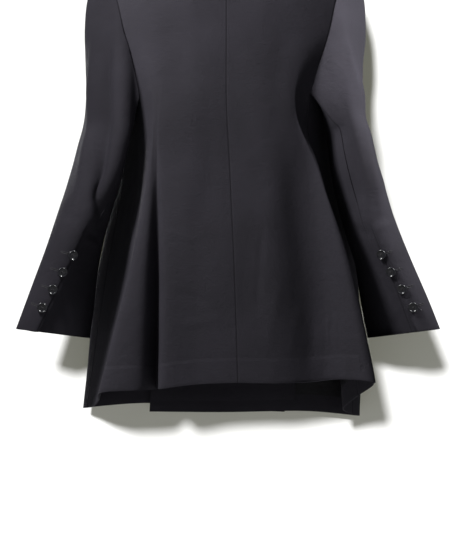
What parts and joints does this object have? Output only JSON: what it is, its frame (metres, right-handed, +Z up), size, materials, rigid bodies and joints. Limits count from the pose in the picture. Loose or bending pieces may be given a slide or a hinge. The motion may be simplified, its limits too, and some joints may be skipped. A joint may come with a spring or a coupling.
{
  "type": "double-breasted jacket on a hanger",
  "caption": "Long flared double-breasted jacket in plain black suiting, hanging hollow from a plain hanger and hook, with peak lapels, vented cuffs and a centre back seam.",
  "frame": {"origin": "the inner top of the hook, where a rod bears", "axes": "+Z up, -Y out of the jacket's front, +X towards the wearer's left"},
  "size_m": [0.6035, 0.1937, 0.8056],
  "materials": {
    "suiting": "plain black twill suiting with a faint sheen",
    "button": "polished black",
    "hanger_wood": "satin",
    "hook_steel": "polished"
  },
  "bodies": {
    "root": {"back_left": "suiting", "back_right": "suiting", "side_panel_left": "suiting", "side_panel_right": "suiting", "front_left": "suiting", "front_right": "suiting", "facing_right": "suiting", "lapel_left": "suiting", "lapel_right": "suiting", "collar": "suiting", "top_sleeve_left": "suiting", "top_sleeve_right": "suiting", "under_sleeve_left": "suiting", "under_sleeve_right": "suiting", "cuff_button_left_1": "button", "cuff_button_left_2": "button", "cuff_button_left_3": "button", "cuff_button_left_4": "button", "cuff_button_right_1": "button", "cuff_button_right_2": "button", "cuff_button_right_3": "button", "cuff_button_right_4": "button", "front_button_edge_1": "button", "front_button_edge_2": "button", "front_button_edge_3": "button", "front_button_side_1": "button", "front_button_side_2": "button", "front_button_side_3": "button", "hanger": "hanger_wood", "hook": "hook_steel"}
  },
  "joints": []
}
